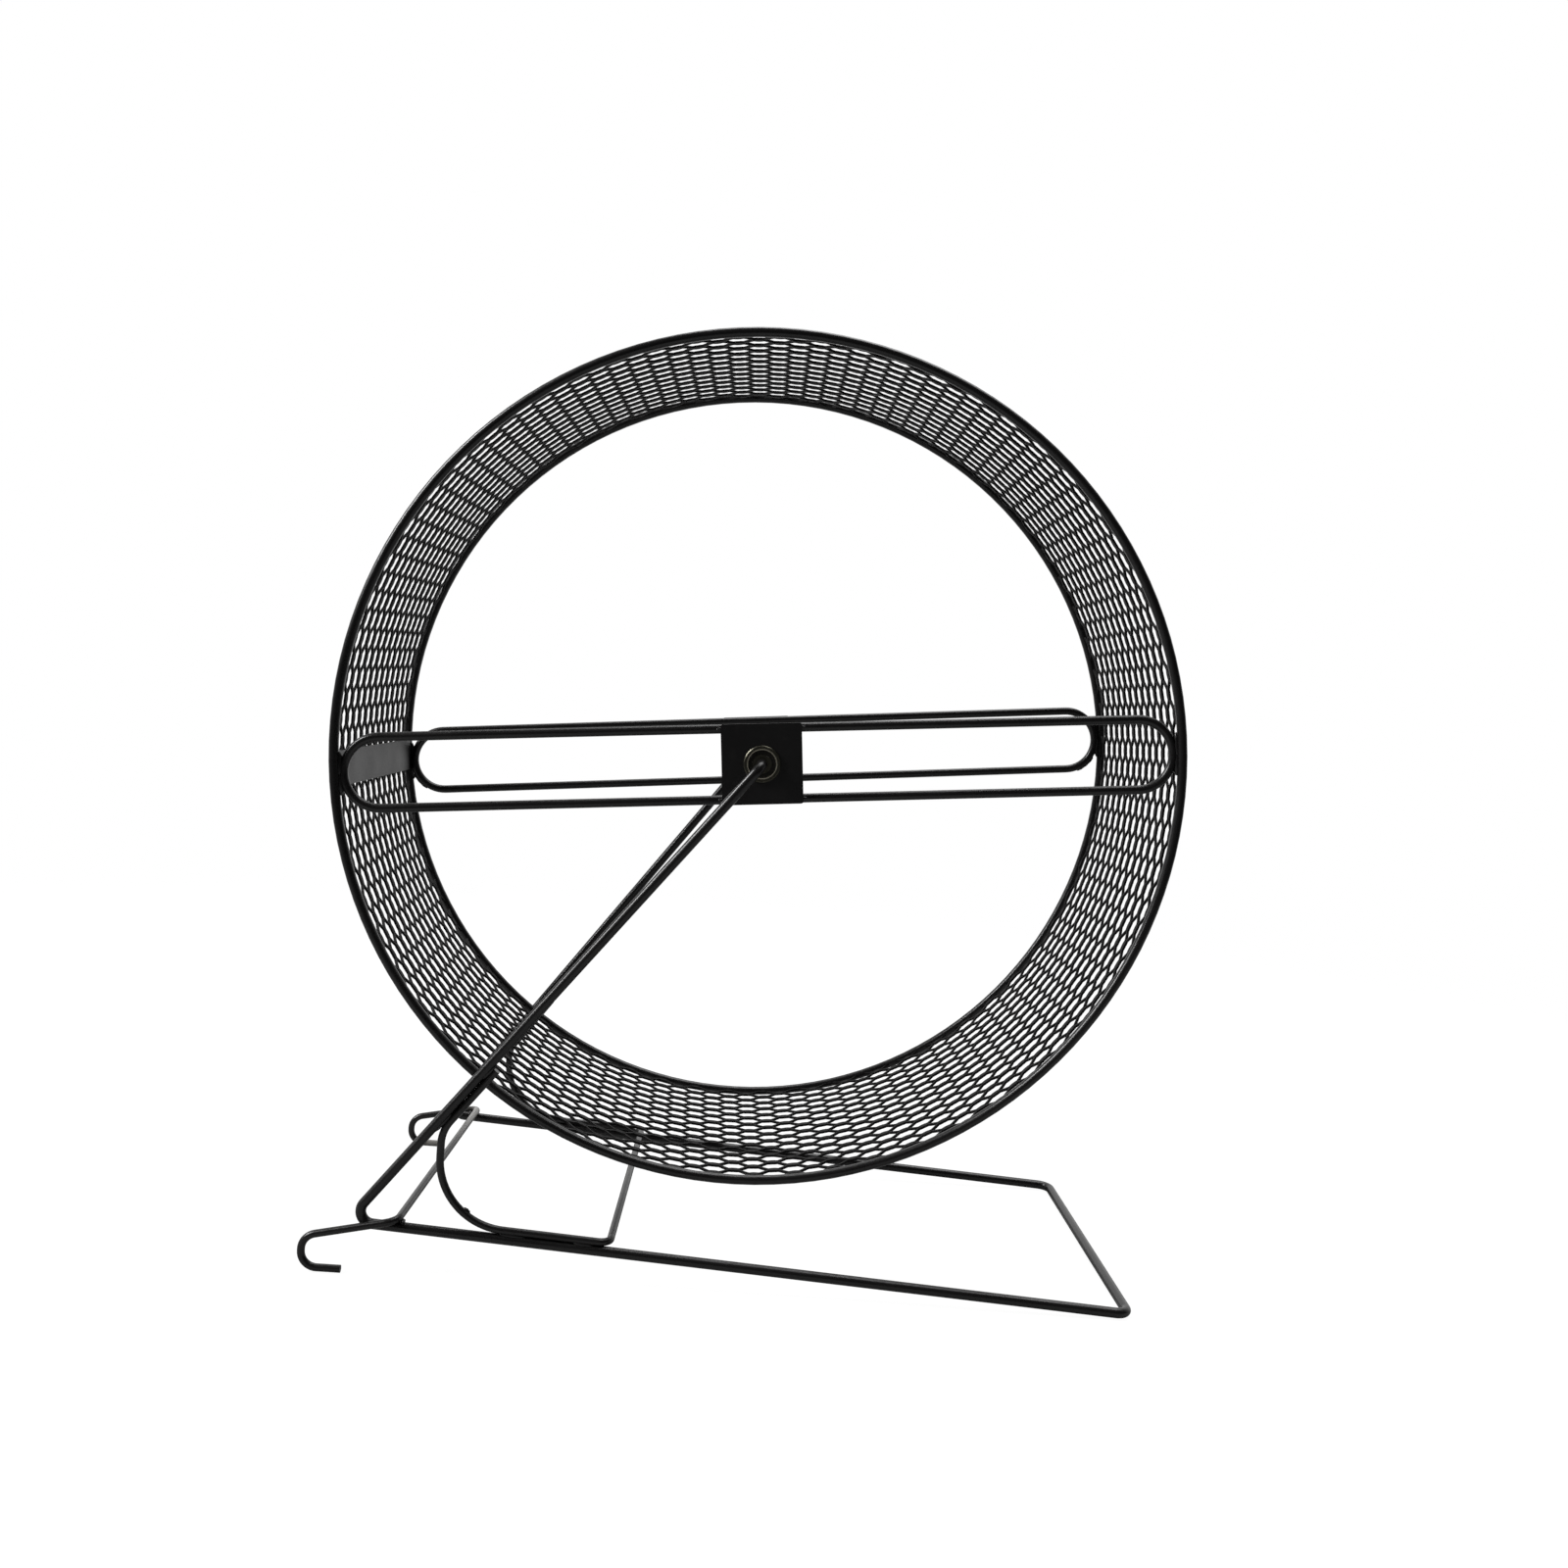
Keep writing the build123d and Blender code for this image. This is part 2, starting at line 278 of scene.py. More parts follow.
class WHEEL_PG_welds(bpy.types.PropertyGroup):
    rim_bead: bpy.props.FloatProperty(
        name="Rim bead",
        description="Radius of the beads between crossbars and rims",
        default=0.0012,
        unit="LENGTH",
        subtype="DISTANCE",
    )
    plate_bead: bpy.props.FloatProperty(
        name="Plate bead",
        description="Radius of the beads between hub plates and crossbars",
        default=0.0006,
        unit="LENGTH",
        subtype="DISTANCE",
    )
    brace_bead: bpy.props.FloatProperty(
        name="Brace bead",
        description="Radius of the beads between brace, struts and base",
        default=0.0008,
        unit="LENGTH",
        subtype="DISTANCE",
    )
    hook_bead: bpy.props.FloatProperty(
        name="Hook bead",
        description="Radius of the beads where the hook wire crosses the base",
        default=0.0008,
        unit="LENGTH",
        subtype="DISTANCE",
    )


class WHEEL_PG_finish(bpy.types.PropertyGroup):
    coat_colour: bpy.props.FloatVectorProperty(
        name="Coat",
        description="Colour of the black coat",
        subtype="COLOR",
        size=3,
        min=0,
        max=1,
        default=(0.0078, 0.0072, 0.0074),
    )
    # painted reflection and highlight: the paler colour put on the hook wire's rear
    painted_sheen_colour: bpy.props.FloatVectorProperty(
        name="Painted sheen",
        description="Colour of the hook wire's coat at the rear",
        subtype="COLOR",
        size=3,
        min=0,
        max=1,
        default=(0.22, 0.212, 0.2),
    )
    coat_roughness: bpy.props.FloatProperty(
        name="Coat roughness",
        description="Roughness of the black coat",
        default=0.3,
        min=0,
        max=1,
        subtype="FACTOR",
    )
    steel_colour: bpy.props.FloatVectorProperty(
        name="Bearing steel",
        description="Colour of the bearing rings",
        subtype="COLOR",
        size=3,
        min=0,
        max=1,
        default=(0.12, 0.115, 0.09),
    )
    shield_colour: bpy.props.FloatVectorProperty(
        name="Bearing shield",
        description="Colour of the shields",
        subtype="COLOR",
        size=3,
        min=0,
        max=1,
        default=(0.045, 0.043, 0.038),
    )


class WHEEL_PG_studio(bpy.types.PropertyGroup):
    floor_colour: bpy.props.FloatVectorProperty(
        name="Floor",
        description="Colour of the floor",
        subtype="COLOR",
        size=3,
        min=0,
        max=1,
        default=(0.98, 0.98, 0.98),
    )
    lens: bpy.props.FloatProperty(
        name="Lens",
        description="Focal length on a 36 mm sensor",
        default=34.236,
        unit="CAMERA",
    )
    eye: bpy.props.FloatVectorProperty(
        name="Camera place",
        description="Where the camera stands",
        subtype="TRANSLATION",
        size=3,
        default=(-0.01076, -0.54067, 0.19764),
    )
    heading: bpy.props.FloatProperty(
        name="Heading",
        description="Turn of the view to the right",
        default=math.radians(2.174),
        unit="ROTATION",
        subtype="ANGLE",
    )
    downward: bpy.props.FloatProperty(
        name="Downward",
        description="How far the view looks down",
        default=math.radians(3.54),
        unit="ROTATION",
        subtype="ANGLE",
    )
    roll: bpy.props.FloatProperty(
        name="Roll",
        description="Turn of the camera about its own view",
        default=math.radians(4.548),
        unit="ROTATION",
        subtype="ANGLE",
    )


# selecting, moving and finishing, as by hand


def clear_selection():
    if bpy.context.object and bpy.context.object.mode != "OBJECT":
        bpy.ops.object.mode_set(mode="OBJECT")
    bpy.ops.object.select_all(action="DESELECT")


def only(piece):
    clear_selection()
    piece.select_set(True)
    bpy.context.view_layer.objects.active = piece
    return piece


def new_piece(name):
    """The primitive that was just added, named and alone in the selection."""
    piece = bpy.context.object
    piece.name = name
    piece.data.name = name
    return only(piece)


def edit(piece):
    only(piece)
    bpy.ops.object.mode_set(mode="EDIT")


def leave():
    bpy.ops.object.mode_set(mode="OBJECT")


def pick(piece, test, kind="VERT"):
    """Selects the vertices, or the edges by their middle, that pass a test."""
    bpy.ops.mesh.select_mode(type=kind)
    bpy.ops.mesh.select_all(action="DESELECT")
    mesh = bmesh.from_edit_mesh(piece.data)
    if kind == "VERT":
        for vert in mesh.verts:
            vert.select_set(test(vert.co))
    else:
        for edge in mesh.edges:
            edge.select_set(test((edge.verts[0].co + edge.verts[1].co) / 2))
    bmesh.update_edit_mesh(piece.data)


def near(point):
    spot = Vector(point)
    return lambda place: (place - spot).length < MERGE


def apply_place(piece):
    only(piece)
    bpy.ops.object.transform_apply(location=True, rotation=True, scale=True)


def turn_and_place(piece, turn, place=(0, 0, 0)):
    piece.rotation_euler = turn
    piece.location = place
    apply_place(piece)


def apply_modifiers(piece):
    only(piece)
    for modifier in list(piece.modifiers):
        bpy.ops.object.modifier_apply(modifier=modifier.name)


def finish_piece(piece, material, body, smooth=math.radians(35)):
    """Places a piece for good, shades it and hangs it on its body."""
    apply_place(piece)
    bpy.ops.object.shade_smooth_by_angle(angle=smooth)
    piece.data.materials.clear()
    piece.data.materials.append(material)
    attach(piece, body)


# materials


def new_group(name, inputs, outputs):
    """A shader node group with named sockets, each given as its name, type and default."""
    group = bpy.data.node_groups.new(name, "ShaderNodeTree")
    for label, kind, default in inputs:
        socket = group.interface.new_socket(label, in_out="INPUT", socket_type=kind)
        socket.default_value = default
    for label, kind in outputs:
        group.interface.new_socket(label, in_out="OUTPUT", socket_type=kind)
    return group, group.nodes.new("NodeGroupInput"), group.nodes.new("NodeGroupOutput")


def math_node(tree, operation, first, second=None, clamp=False):
    node = tree.nodes.new("ShaderNodeMath")
    node.operation = operation
    node.use_clamp = clamp
    for index, value in enumerate((first, second)):
        if value is None:
            continue
        if isinstance(value, (int, float)):
            node.inputs[index].default_value = value
        else:
            tree.links.new(value, node.inputs[index])
    return node.outputs[0]


def map_range(tree, value, start, end, low=0.0, high=1.0, smooth=False):
    """Turns a value between start and end into one between low and high."""
    node = tree.nodes.new("ShaderNodeMapRange")
    if smooth:
        node.interpolation_type = "SMOOTHSTEP"
    node.inputs["From Min"].default_value = start
    node.inputs["From Max"].default_value = end
    node.inputs["To Min"].default_value = low
    node.inputs["To Max"].default_value = high
    tree.links.new(value, node.inputs["Value"])
    return node.outputs["Result"]


def noise_node(tree, place, scale, detail=2.0):
    node = tree.nodes.new("ShaderNodeTexNoise")
    node.inputs["Scale"].default_value = scale
    node.inputs["Detail"].default_value = detail
    tree.links.new(place, node.inputs["Vector"])
    return node.outputs["Fac"]


def mix_colour(tree, mask, first, second):
    node = tree.nodes.new("ShaderNodeMix")
    node.data_type = "RGBA"
    tree.links.new(mask, node.inputs["Factor"])
    for label, value in (("A", first), ("B", second)):
        socket = next(s for s in node.inputs if s.name == label and s.type == "RGBA")
        if isinstance(value, tuple):
            socket.default_value = value
        else:
            tree.links.new(value, socket)
    return next(s for s in node.outputs if s.type == "RGBA")


def object_place(tree):
    return tree.nodes.new("ShaderNodeTexCoord").outputs["Object"]


def length_of(tree, vector):
    node = tree.nodes.new("ShaderNodeVectorMath")
    node.operation = "LENGTH"
    tree.links.new(vector, node.inputs[0])
    return node.outputs["Value"]


def add_bump(tree, shader, relief, strength, height):
    node = tree.nodes.new("ShaderNodeBump")
    node.inputs["Strength"].default_value = strength
    node.inputs["Distance"].default_value = height
    tree.links.new(relief, node.inputs["Height"])
    tree.links.new(node.outputs["Normal"], shader.inputs["Normal"])


def new_material(name):
    material = bpy.data.materials.new(name)
    material.use_nodes = True
    return material, material.node_tree, material.node_tree.nodes["Principled BSDF"]


def powder_grain():
    """The fine pebbled skin of a baked powder coat, with slow changes of gloss and a little dust."""
    group, start, end = new_group(
        "powder_grain",
        (
            ("Colour", "NodeSocketColor", (0.01, 0.01, 0.01, 1)),
            ("Roughness", "NodeSocketFloat", 0.4),
            ("Dust", "NodeSocketFloat", 0.1),
        ),
        (("Colour", "NodeSocketColor"), ("Roughness", "NodeSocketFloat"), ("Height", "NodeSocketFloat")),
    )
    place = object_place(group)
    pebble = noise_node(group, place, PEBBLES, 1.0)
    ripple = noise_node(group, place, RIPPLES, 2.0)
    slow = noise_node(group, place, SLOW_CHANGES, 3.0)
    half_pebble = math_node(group, "MULTIPLY", pebble, 0.5)
    height = math_node(group, "ADD", half_pebble, math_node(group, "MULTIPLY", ripple, 0.5))
    slow_gloss = math_node(group, "MULTIPLY", math_node(group, "SUBTRACT", slow, 0.5), SLOW_GLOSS)
    pebble_gloss = math_node(group, "MULTIPLY", math_node(group, "SUBTRACT", pebble, 0.5), PEBBLE_GLOSS)
    gloss = math_node(group, "ADD", slow_gloss, pebble_gloss)
    roughness = math_node(group, "ADD", gloss, start.outputs["Roughness"], clamp=True)
    specks = map_range(group, noise_node(group, place, SPECKS, 4.0), *SPECK_RANGE)
    mask = math_node(group, "MULTIPLY", specks, start.outputs["Dust"])
    colour = mix_colour(group, mask, start.outputs["Colour"], DUST_COLOUR)
    group.links.new(colour, end.inputs["Colour"])
    group.links.new(roughness, end.inputs["Roughness"])
    group.links.new(height, end.inputs["Height"])
    return group


def coat_material(name, group, colour, rough, dust, bump, height, gloss):
    """A black powder coat on steel."""
    material, tree, shader = new_material(name)
    grain = tree.nodes.new("ShaderNodeGroup")
    grain.node_tree = group
    grain.inputs["Colour"].default_value = (*colour, 1)
    grain.inputs["Roughness"].default_value = rough
    grain.inputs["Dust"].default_value = dust
    add_bump(tree, shader, grain.outputs["Height"], bump, height)
    tree.links.new(grain.outputs["Colour"], shader.inputs["Base Color"])
    tree.links.new(grain.outputs["Roughness"], shader.inputs["Roughness"])
    shader.inputs["Specular IOR Level"].default_value = gloss


def paint_sheen(material, patches, colour):
    """Turns the coat paler in patches, as painted reflection and painted highlight.

    Each patch gives, along X, Y and Z, where the change starts and where it ends.
    """
    tree = material.node_tree
    shader = tree.nodes["Principled BSDF"]
    plain = shader.inputs["Base Color"].links[0].from_socket
    place = tree.nodes.new("ShaderNodeSeparateXYZ")
    tree.links.new(object_place(tree), place.inputs[0])
    pale = 0.0
    for patch in patches:
        mask = 1.0
        for axis, (start, end) in zip("XYZ", patch):
            change = map_range(tree, place.outputs[axis], start, end, smooth=True)
            mask = math_node(tree, "MULTIPLY", mask, change)
        pale = math_node(tree, "MAXIMUM", pale, mask)
    tree.links.new(mix_colour(tree, pale, plain, (*colour, 1)), shader.inputs["Base Color"])


def axle_distance(tree, place):
    centre = tree.nodes.new("ShaderNodeMapping")
    centre.inputs["Location"].default_value = (0, 0, -AXLE_Z)
    tree.links.new(place, centre.inputs["Vector"])
    flat = tree.nodes.new("ShaderNodeVectorMath")
    flat.operation = "MULTIPLY"
    flat.inputs[1].default_value = (1, 0, 1)
    tree.links.new(centre.outputs["Vector"], flat.inputs[0])
    return length_of(tree, flat.outputs["Vector"])


def turned_steel(name, colour, roughness, highlight_radii=None):
    """Steel ground or pressed in rings about the axle, with a painted highlight ring between two radii if asked.
    """
    material, tree, shader = new_material(name)
    place = object_place(tree)
    reach = axle_distance(tree, place)
    rings = tree.nodes.new("ShaderNodeTexNoise")
    rings.noise_dimensions = "1D"
    rings.inputs["Scale"].default_value = RING_LINES
    rings.inputs["Detail"].default_value = 3.0
    tree.links.new(reach, rings.inputs["W"])
    darker = (*[c * 0.8 for c in colour], 1)
    lighter = (*[min(1, c * 1.2) for c in colour], 1)
    shade = mix_colour(tree, noise_node(tree, place, STEEL_TONES, 3.0), darker, lighter)
    # painted highlight: a bright ring where the outer ring's inner edge catches the light
    if highlight_radii:
        inner, outer = highlight_radii
        middle, half = (inner + outer) / 2, (outer - inner) / 2
        off = math_node(tree, "ABSOLUTE", math_node(tree, "SUBTRACT", reach, middle))
        edge = map_range(tree, off, half, half * 1.6, low=1.0, high=0.0)
        shade = mix_colour(tree, edge, shade, HIGHLIGHT_COLOUR)
    tree.links.new(shade, shader.inputs["Base Color"])
    ring_rough = math_node(tree, "MULTIPLY", rings.outputs["Fac"], 0.2)
    rough = math_node(tree, "ADD", ring_rough, roughness - 0.1, clamp=True)
    tree.links.new(rough, shader.inputs["Roughness"])
    add_bump(tree, shader, rings.outputs["Fac"], RING_BUMP, RING_HEIGHT)
    shader.inputs["Metallic"].default_value = 1.0


def make_materials():
    finish = bpy.context.scene.wheel_finish
    group = powder_grain()
    colour = tuple(finish.coat_colour)
    for name, (extra, dust, bump, height, gloss) in COATS.items():
        coat_material(name, group, colour, finish.coat_roughness + extra, dust, bump, height, gloss)
    # painted reflection along the hook wire's rear crossing and a painted highlight at the rear hook's tip
    paint_sheen(bpy.data.materials["hook_painted_sheen_coat"], PAINTED_SHEEN_PATCHES, tuple(finish.painted_sheen_colour))
    # the bearing rings get a painted highlight ring at the outer ring's inner edge
    turned_steel("bearing_ring_steel", tuple(finish.steel_colour), RING_ROUGHNESS, highlight_radii=BEARING_HIGHLIGHT_RADII)
    turned_steel("bearing_shield_steel", tuple(finish.shield_colour), SHIELD_ROUGHNESS)


def material_of(name):
    if name not in bpy.data.materials:
        make_materials()
    return bpy.data.materials[name]


def coat_node(name, material):
    """Gives a carried-over piece its finish."""
    for socket in frame["nodes"][name].material_slots:
        socket.material = material_of(material)


# the rolled mesh


def bond_tile(name, size):
    """One crossing of the mesh, flat: two strands joined along a bond, then parting into four arms.

    Each arm leaves its bond almost level, is steepest halfway and ends almost level at the next bond.
    The tile holds the near half of each arm. Bonds stand a little further inwards than arms.
    """
    pitch = 2 * math.pi * size.middle_radius / size.cells_per_turn
    c, w = size.bond_half, size.strand
    end_lift = BOND_END_SHARE * size.lift
    arm = Vector((pitch / 4 - c, size.row_pitch / 4 - w / 2, 0))
    bpy.ops.mesh.primitive_plane_add(size=2, location=(0, 0, 0))
    tile = new_piece(name)
    edit(tile)
    bpy.ops.mesh.select_all(action="SELECT")
    bpy.ops.transform.resize(value=(c, w, 1))
    bpy.ops.transform.translate(value=(0, 0, -size.lift))
    bpy.ops.mesh.subdivide(number_cuts=1)
    pick(tile, lambda p: abs(p.x) > c / 2)
    bpy.ops.transform.translate(value=(0, 0, size.lift - end_lift))
    for way in (1, -1):
        pick(tile, lambda p: way * p.y > w / 2)
        bpy.ops.transform.translate(value=(0, 0, way * size.bond_tilt))
    rings = []
    for along, climb, slope, height in ARM_RINGS:
        lean = math.atan(slope * arm.y / arm.x)
        across = Vector((-math.sin(lean), math.cos(lean), 0)) * w / 2
        middle = Vector((c + along * arm.x, w / 2 + climb * arm.y, -height * size.lift))
        rings.append((middle + across, middle - across))
    for side in (1, -1):
        for way in (1, -1):
            far = Vector((side * c, way * w, way * size.bond_tilt - end_lift))
            turned = Vector((0, 0, way * size.arm_tilt))
            crotch = Vector((side * c, 0, -end_lift))
            for outer, inner in rings:
                a = Vector((side * outer.x, way * outer.y, outer.z)) + turned
                b = Vector((side * inner.x, way * inner.y, inner.z)) - turned
                shift = (a + b) / 2 - (far + crotch) / 2
                pick(tile, near((far + crotch) / 2), "EDGE")
                bpy.ops.mesh.extrude_edges_move(TRANSFORM_OT_translate={"value": shift})
                bpy.ops.mesh.select_mode(type="VERT")
                move_end(tile, far + shift, a)
                move_end(tile, crotch + shift, b)
                far, crotch = a, b
    leave()
    return tile


def move_end(tile, start, end):
    """Moves the free corner of an arm to its place."""
    mesh = bmesh.from_edit_mesh(tile.data)
    free = [v for v in mesh.verts if (v.co - start).length < SAME_PLACE and len(v.link_faces) == 1]
    bpy.ops.mesh.select_all(action="DESELECT")
    for vert in free:
        vert.select_set(True)
    bmesh.update_edit_mesh(tile.data)
    if (end - start).length > 0:
        bpy.ops.transform.translate(value=end - start)


def repeat(piece, count, offset):
    """Copies in a row, joined where they meet."""
    rows = piece.modifiers.new("Repeat", "ARRAY")
    rows.count = count
    rows.use_relative_offset = False
    rows.use_constant_offset = True
    rows.constant_offset_displace = offset
    rows.use_merge_vertices = True
    rows.merge_threshold = MERGE


def rolled_mesh(size):
    """The flat sheet: repeated, set askew, cut at its two ends, thickened and rolled."""
    turn_length = 2 * math.pi * size.middle_radius
    pitch = turn_length / size.cells_per_turn
    sheet = bond_tile("expanded_mesh", size)
    edit(sheet)
    bpy.ops.mesh.select_all(action="SELECT")
    bpy.ops.mesh.duplicate_move(TRANSFORM_OT_translate={"value": (pitch / 2, size.row_pitch / 2, 0)})
    bpy.ops.mesh.select_all(action="SELECT")
    bpy.ops.mesh.remove_doubles(threshold=MERGE)
    rows_before = math.ceil(size.half_width / size.row_pitch) + 1
    drift = turn_length * math.tan(size.askew)
    rows = math.ceil((2 * size.half_width + drift) / size.row_pitch) + 2
    first_row = size.row_shift - size.row_pitch * rows_before
    first_column = -(1 + size.start_share) * pitch
    bpy.ops.transform.translate(value=(first_column, first_row, 0))
    leave()
    repeat(sheet, rows, (0, size.row_pitch, 0))
    repeat(sheet, int(size.cells_per_turn) + 3, (pitch, 0, 0))
    apply_modifiers(sheet)
    turn_and_place(sheet, (0, 0, -size.askew))
    edit(sheet)
    bpy.ops.mesh.select_all(action="SELECT")
    bpy.ops.mesh.remove_doubles(threshold=MERGE)
    for place, way in ((0, -1), (turn_length - size.seam_gap, 1)):
        bpy.ops.mesh.select_all(action="SELECT")
        bpy.ops.mesh.bisect(plane_co=(place, 0, 0), plane_no=(way, 0, 0), clear_outer=True)
    leave()
    wall = sheet.modifiers.new("Thickness", "SOLIDIFY")
    wall.thickness = size.thickness
    wall.offset = 0
    apply_modifiers(sheet)
    turn_and_place(sheet, (0, 0, 0), (-turn_length / 2, 0, 0))
    turn_and_place(sheet, (math.pi / 2, 0, 0))
    spread = [v.co.x for v in sheet.data.vertices]
    roll = sheet.modifiers.new("Roll", "SIMPLE_DEFORM")
    roll.deform_method = "BEND"
    roll.deform_axis = "Z"
    roll.angle = (max(spread) - min(spread)) / size.middle_radius
    apply_modifiers(sheet)
    turn_and_place(sheet, (0, 0, 0), (0, -size.middle_radius, 0))
    turn_and_place(sheet, (math.pi / 2, 0, 0))
    return sheet


def seated_mesh(size):
    """The rolled sheet on the axle, its ends at the seam, cut to the width between the rims."""
    sheet = rolled_mesh(size)
    turn_and_place(sheet, (0, SEAM_FROM_ROLL - size.seam_angle, 0), (0, 0, AXLE_Z))
    edit(sheet)
    for way in (1, -1):
        bpy.ops.mesh.select_all(action="SELECT")
        bpy.ops.mesh.bisect(
            plane_co=(0, way * size.half_width, 0),
            plane_no=(0, way, 0),
            clear_outer=True,
            use_fill=True,
        )
    leave()
    return sheet


class WHEEL_OT_running_mesh(bpy.types.Operator):
    """Rolls the expanded mesh that the animal runs on"""

    bl_idname = "wheel.running_mesh"
    bl_label = "Running Mesh"

    def execute(self, context):
        sheet = seated_mesh(context.scene.wheel_mesh)
        finish_piece(sheet, material_of("mesh_black_coat"), "wheel")
        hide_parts("running_mesh")
        return {"FINISHED"}


# weld beads: each spot is its place and the way it runs, its half length in millimetres, and its radius in metres


def weld_bead(name):
    """One bead of weld, one unit long and wide each way, with the ripples of its layers."""
    bpy.ops.mesh.primitive_uv_sphere_add(segments=12, ring_count=10, radius=1, location=(0, 0, 0))
    bead = new_piece(name)
    turn_and_place(bead, (0, math.pi / 2, 0))
    edit(bead)
    for place in BEAD_RINGS:
        pick(bead, lambda p: abs(p.x - place) < BEAD_RING_REACH)
        bpy.ops.transform.resize(value=(1, BEAD_WAIST, BEAD_WAIST), center_override=(place, 0, 0))
    bpy.ops.mesh.select_all(action="SELECT")
    bpy.ops.transform.vertex_random(offset=BEAD_UNEVEN, uniform=0.1, normal=0.0, seed=4)
    leave()
    return bead


def place_beads(name, spots):
    """Copies of the bead, each laid along its own joint, joined into one piece."""
    first = weld_bead(name)
    beads = []
    for place, run, half_length, radius in spots:
        only(first)
        bpy.ops.object.duplicate()
        bead = bpy.context.object
        bead.scale = (half_length / MM_PER_M, radius, radius)
        turn_and_place(bead, Vector(run).to_track_quat("X", "Z").to_euler(), Vector(place) / MM_PER_M)
        beads.append(bead)
    only(first)
    bpy.ops.object.delete()
    clear_selection()
    for bead in beads:
        bead.select_set(True)
    bpy.context.view_layer.objects.active = beads[0]
    bpy.ops.object.join()
    return new_piece(name)


def on_wheel(turn, along, up, depth):
    """A place in the frame of a crossbar, which is turned about the axle."""
    c, s = math.cos(turn), math.sin(turn)
    return Vector((along * c - up * s, depth, MM_PER_M * AXLE_Z + along * s + up * c))


def wheel_weld_spots(size):
    """Where the crossbars meet the rims, and where the hub plates meet the crossbars."""
    spots = []
    for way, turn in CROSSBARS:
        along = Vector((math.cos(turn), 0, math.sin(turn)))
        upward = Vector((-math.sin(turn), 0, math.cos(turn)))
        for end in (1, -1):
            for rise in (1, -1):
                lean = upward - along * end * rise * RIM_BEAD_LEAN
                place = on_wheel(turn, end * RIM_BEAD_ALONG, rise * RIM_BEAD_UP, way * RIM_BEAD_DEPTH)
                spots.append((place, lean, RIM_BEAD_HALF, size.rim_bead))
                place = on_wheel(turn, end * PLATE_BEAD_ALONG, rise * PLATE_BEAD_UP, way * PLATE_BEAD_DEPTH)
                spots.append((place, along, PLATE_BEAD_HALF, size.plate_bead))
    return spots + bend_weld_spots(size)


def bend_weld_spots(size):
    """The rear crossbar's beads run on around its lower bends."""
    turn = CROSSBARS[1][1]
    spots = []
    for end, bend in BEND_BEADS:
        along = BEND_MIDDLE + BEND_BEAD_REACH * math.cos(bend)
        up = -BEND_BEAD_REACH * math.sin(bend)
        place = on_wheel(turn, end * along, up, BEND_BEAD_DEPTH)
        past = on_wheel(turn, end * (along - math.sin(bend)), up - math.cos(bend), BEND_BEAD_DEPTH)
        spots.append((place, past - place, BEND_BEAD_HALF, BEND_BEAD_SHARE * size.rim_bead))
    return spots


def stand_weld_spots(size):
    """Where the brace meets struts and base, and where the hook wire crosses the base."""
    spots = []
    for side in STAND_SIDES:
        depth = side["way"] * BRACE_BEAD_DEPTH
        for run, beads in ((side["strut_run"], side["on_strut"]), (BASE_RUN, side["on_base"])):
            for x, z, half_length in beads:
                spots.append(((x, depth, z), run, half_length, size.brace_bead))
        x, z = side["crossing"]
        depth = side["way"] * HOOK_BEAD_DEPTH
        for step, rise, half_length in HOOK_BEADS:
            spots.append(((x + step, depth, z + rise), HOOK_RUN, half_length, size.hook_bead))
    spots.append((DROP_PLACE, DROP_RUN, DROP_HALF, DROP_SHARE * size.brace_bead))
    return spots


class WHEEL_OT_welds(bpy.types.Operator):
    """Lays the weld beads that hold wires and plates together"""

    bl_idname = "wheel.welds"
    bl_label = "Welds"

    def execute(self, context):
        size = context.scene.wheel_welds
        for body, spots in (("wheel", wheel_weld_spots(size)), ("stand", stand_weld_spots(size))):
            beads = place_beads(f"{body}_welds", spots)
            finish_piece(beads, material_of("weld_black_coat"), body, smooth=math.radians(70))
        return {"FINISHED"}


# carried-over pieces


class WHEEL_OT_wires(bpy.types.Operator):
    """Coats the rims, the seam plate, the crossbars and the stand's three wires"""

    bl_idname = "wheel.wires"
    bl_label = "Wires"

    def execute(self, context):
        for name in BLACK_WIRES:
            coat_node(name, "wire_black_coat")
        # the hook wire's coat carries painted reflection and highlight at its rear
        coat_node("hook_wire", "hook_painted_sheen_coat")
        coat_node("seam_plate", "seam_black_coat")
        return {"FINISHED"}


class WHEEL_OT_hubs(bpy.types.Operator):
    """Finishes the hub plates and the two ball bearings"""

    bl_idname = "wheel.hubs"
    bl_label = "Hubs"

    def execute(self, context):
        for name in BLACK_PLATES:
            coat_node(name, "plate_black_coat")
        for bearing in BEARINGS:
            for piece in BEARING_STEEL:
                coat_node(f"{bearing}_{piece}", "bearing_ring_steel")
            coat_node(f"{bearing}_shields", "bearing_shield_steel")
        return {"FINISHED"}


# the studio


def area_light(name, place, target, size, power):
    bpy.ops.object.light_add(type="AREA", location=place)
    lamp = bpy.context.object
    lamp.name = name
    lamp.data.shape = "RECTANGLE"
    lamp.data.size, lamp.data.size_y = size
    lamp.data.energy = power
    lamp.rotation_euler = (Vector(target) - Vector(place)).to_track_quat("-Z", "Y").to_euler()


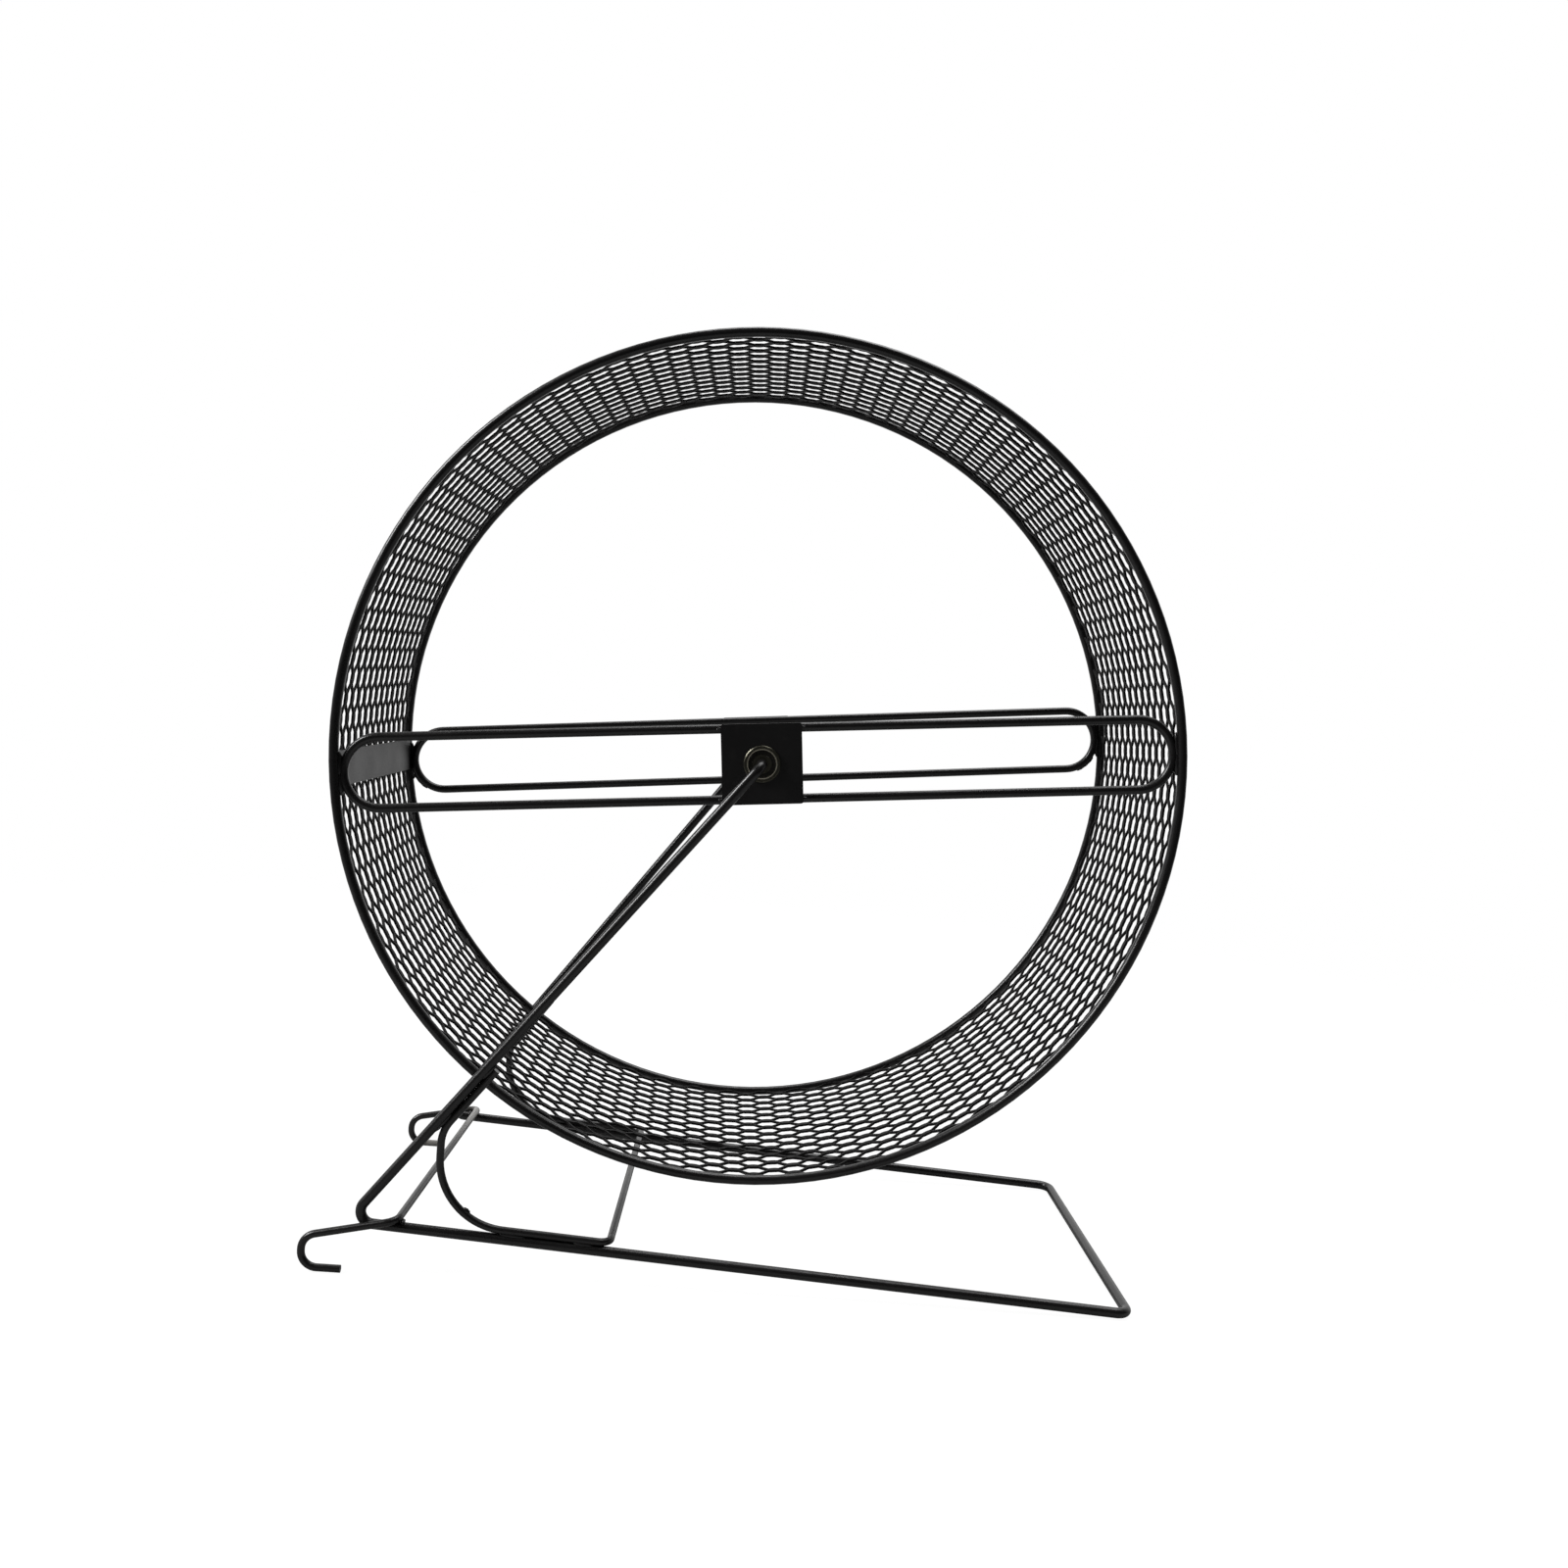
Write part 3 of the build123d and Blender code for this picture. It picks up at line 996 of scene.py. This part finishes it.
def floor_material(colour):
    """A white floor that fades into the surroundings away from the wheel and looks dimmer in reflections."""
    material, tree, shader = new_material("white_floor")
    shader.inputs["Base Color"].default_value = (*[c * FLOOR_BASE_SHARE for c in colour], 1)
    shader.inputs["Roughness"].default_value = 0.9
    shader.inputs["Specular IOR Level"].default_value = 0.0
    shader.inputs["Emission Color"].default_value = (*colour, 1)
    shader.inputs["Emission Strength"].default_value = FLOOR_GLOW
    dim = tree.nodes.new("ShaderNodeBsdfDiffuse")
    dim.inputs["Color"].default_value = FLOOR_REFLECTED
    seen = tree.nodes.new("ShaderNodeLightPath")
    choice = tree.nodes.new("ShaderNodeMixShader")
    tree.links.new(seen.outputs["Is Camera Ray"], choice.inputs[0])
    tree.links.new(dim.outputs[0], choice.inputs[1])
    tree.links.new(shader.outputs[0], choice.inputs[2])
    fade = map_range(tree, length_of(tree, object_place(tree)), *FLOOR_FADE, smooth=True)
    clear = tree.nodes.new("ShaderNodeBsdfTransparent")
    blend = tree.nodes.new("ShaderNodeMixShader")
    tree.links.new(fade, blend.inputs[0])
    tree.links.new(choice.outputs[0], blend.inputs[1])
    tree.links.new(clear.outputs[0], blend.inputs[2])
    tree.links.new(blend.outputs[0], tree.nodes["Material Output"].inputs["Surface"])
    return material


def surroundings():
    """A white tent: seen plain white, but dark where its open front is reflected."""
    world = bpy.data.worlds.new("studio_surroundings")
    world.use_nodes = True
    tree = world.node_tree
    way = tree.nodes.new("ShaderNodeSeparateXYZ")
    tree.links.new(tree.nodes.new("ShaderNodeTexCoord").outputs["Generated"], way.inputs[0])
    tent = map_range(tree, way.outputs["Y"], *TENT_SPREAD, *TENT_GLOW, smooth=True)
    seen = tree.nodes.new("ShaderNodeLightPath")
    glow = math_node(tree, "MAXIMUM", tent, seen.outputs["Is Camera Ray"])
    background = tree.nodes["Background"]
    background.inputs["Color"].default_value = (1, 1, 1, 1)
    tree.links.new(glow, background.inputs["Strength"])
    return world


def lay_floor(colour):
    clear_selection()
    bpy.ops.mesh.primitive_plane_add(size=FLOOR_SIDE, location=(0, 0, FLOOR_Z))
    floor = new_piece("studio_floor")
    apply_place(floor)
    floor.data.materials.append(floor_material(colour))


def stand_camera(studio):
    """Stands the camera in front of the wheel's hub, a little above it."""
    clear_selection()
    bpy.ops.object.camera_add(location=studio.eye)
    camera = bpy.context.object
    camera.name = "wheel_camera"
    yaw, pitch, roll = studio.heading, studio.downward, studio.roll
    ahead = Vector((math.sin(yaw) * math.cos(pitch), math.cos(yaw) * math.cos(pitch), -math.sin(pitch)))
    level = Vector((math.cos(yaw), -math.sin(yaw), 0))
    above = level.cross(ahead)
    right = math.cos(roll) * level + math.sin(roll) * above
    up = -math.sin(roll) * level + math.cos(roll) * above
    camera.rotation_euler = Matrix((right, up, -ahead)).transposed().to_euler()
    camera.data.sensor_width = 36
    camera.data.lens = studio.lens
    camera.data.clip_start = 0.01
    bpy.context.scene.camera = camera


class WHEEL_OT_studio(bpy.types.Operator):
    """Stands the camera, lays a white floor, and sets soft lights and the surroundings that the coat reflects"""

    bl_idname = "wheel.studio"
    bl_label = "Studio"

    def execute(self, context):
        studio = context.scene.wheel_studio
        stand_camera(studio)
        lay_floor(tuple(studio.floor_colour))
        context.scene.world = surroundings()
        for lamp in LAMPS:
            area_light(*lamp)
        context.scene.view_settings.view_transform = "Standard"
        context.scene.view_settings.look = "None"
        return {"FINISHED"}


class WHEEL_PT_panel(bpy.types.Panel):
    """Sizes, colours and the steps that use them"""

    bl_idname = "WHEEL_PT_panel"
    bl_label = "Hamster Wheel"
    bl_space_type = "VIEW_3D"
    bl_region_type = "UI"
    bl_category = "Hamster Wheel"

    def draw(self, context):
        layout = self.layout
        for group in (getattr(context.scene, label) for label in GROUPS):
            box = layout.box()
            for label in group.__annotations__:
                box.prop(group, label)
        for operator in OPERATORS:
            layout.operator(operator.bl_idname)


GROUPS = {
    "wheel_mesh": WHEEL_PG_mesh,
    "wheel_welds": WHEEL_PG_welds,
    "wheel_finish": WHEEL_PG_finish,
    "wheel_studio": WHEEL_PG_studio,
}
OPERATORS = (WHEEL_OT_studio, WHEEL_OT_wires, WHEEL_OT_hubs, WHEEL_OT_running_mesh, WHEEL_OT_welds)


def register():
    for kind in (*GROUPS.values(), *OPERATORS, WHEEL_PT_panel):
        bpy.utils.register_class(kind)
    for label, kind in GROUPS.items():
        setattr(bpy.types.Scene, label, bpy.props.PointerProperty(type=kind))


def unregister():
    for label in GROUPS:
        delattr(bpy.types.Scene, label)
    for kind in reversed((*GROUPS.values(), *OPERATORS, WHEEL_PT_panel)):
        bpy.utils.unregister_class(kind)


def main():
    """Runs every step in order."""
    register()
    bpy.ops.wheel.studio()
    bpy.ops.wheel.wires()
    bpy.ops.wheel.hubs()
    bpy.ops.wheel.running_mesh()
    bpy.ops.wheel.welds()


if __name__ == "__main__":
    main()
